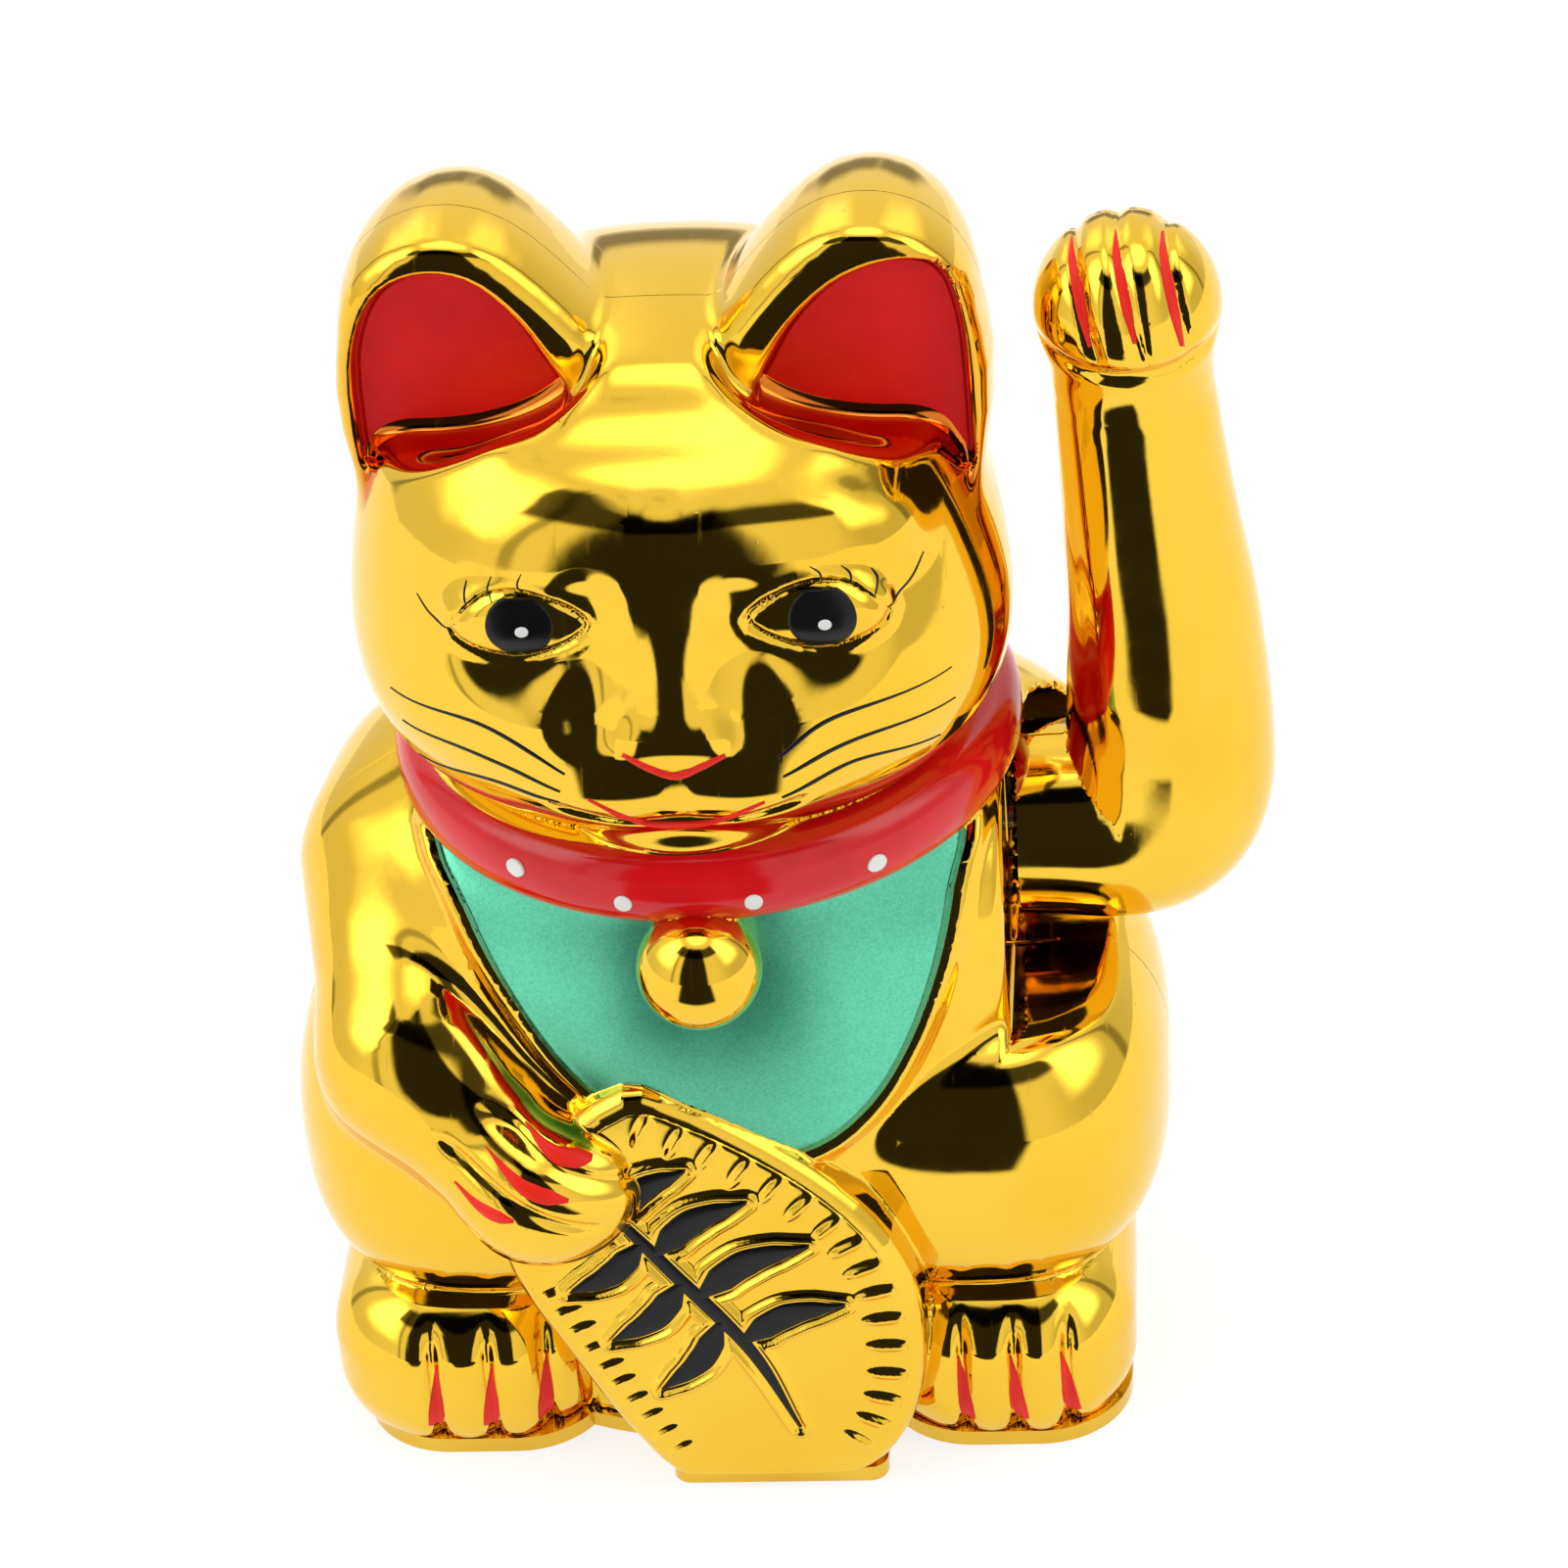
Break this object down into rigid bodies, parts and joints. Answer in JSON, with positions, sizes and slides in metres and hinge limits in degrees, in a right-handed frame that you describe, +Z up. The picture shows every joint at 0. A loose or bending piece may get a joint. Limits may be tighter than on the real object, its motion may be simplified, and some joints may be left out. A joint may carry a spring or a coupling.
{
  "type": "beckoning cat figurine",
  "caption": "Seated gold waving-cat figurine with a raised arm that swings on a magnet-driven pendulum, a coin held to its front and a battery base.",
  "frame": {"origin": "Centre of the base's footing ellipse, on the table plane.", "axes": "Front of the cat faces -Y, its waving arm is on +X, up is +Z."},
  "size_m": [0.1143, 0.0846, 0.1508],
  "materials": {
    "gold_shell": "vacuum-plated bright gold over moulded ABS, painted red, green and black in places",
    "gold_base": "vacuum-plated gold over moulded ABS",
    "steel": "bright zinc-plated steel",
    "white_nylon": "plain white moulded plastic",
    "zinc": "bare cast metal, dull grey",
    "magnet": "nickel-plated magnet",
    "black_nylon": "plain black moulded plastic",
    "copper": "enamelled copper wire, wound",
    "green_board": "green solder mask over glass-fibre board",
    "capacitor_sleeve": "dark blue shrink sleeve",
    "battery_jacket": "printed steel can, plain dark grey",
    "nickel": "nickel-plated spring steel",
    "red_pvc": "red wire insulation",
    "black_pvc": "black wire insulation"
  },
  "bodies": {
    "root": {"front_shell": "gold_shell", "rear_shell": "gold_shell", "base_plate": "gold_base", "movement_frame": "white_nylon", "coil_bobbin": "black_nylon", "coil_winding": "copper", "circuit_board": "green_board", "driver_chip": "black_nylon", "filter_capacitor": "capacitor_sleeve", "battery_cell": "battery_jacket", "negative_contact": "nickel", "positive_contact": "nickel", "lead_wire_red": "red_pvc", "lead_wire_black": "black_pvc", "switch_housing": "nickel", "base_screws": "steel", "frame_screws": "steel", "board_screws": "steel"},
    "waving_arm": {"arm_front_shell": "gold_shell", "arm_rear_shell": "gold_shell", "arm_shaft": "steel", "shaft_clips": "steel", "pendulum_lever": "white_nylon", "counterweight": "zinc", "drive_magnet": "magnet"},
    "battery_door": {"battery_door": "gold_base"},
    "switch_slider": {"switch_slider": "black_nylon"}
  },
  "joints": [
    {"name": "arm_swing", "type": "hinge", "parent": "root", "child": "waving_arm", "pos_m": [0.014, -0.002, 0.0665], "axis": [1, 0, 0], "range_deg": [-20, 20]},
    {"name": "battery_door_hinge", "type": "hinge", "parent": "root", "child": "battery_door", "pos_m": [0, 0.0036, 0.0016], "axis": [1, 0, 0], "range_deg": [-95, 0]},
    {"name": "switch_slide", "type": "slide", "parent": "root", "child": "switch_slider", "axis": [1, 0, 0], "range_m": [0, 0.002]}
  ]
}
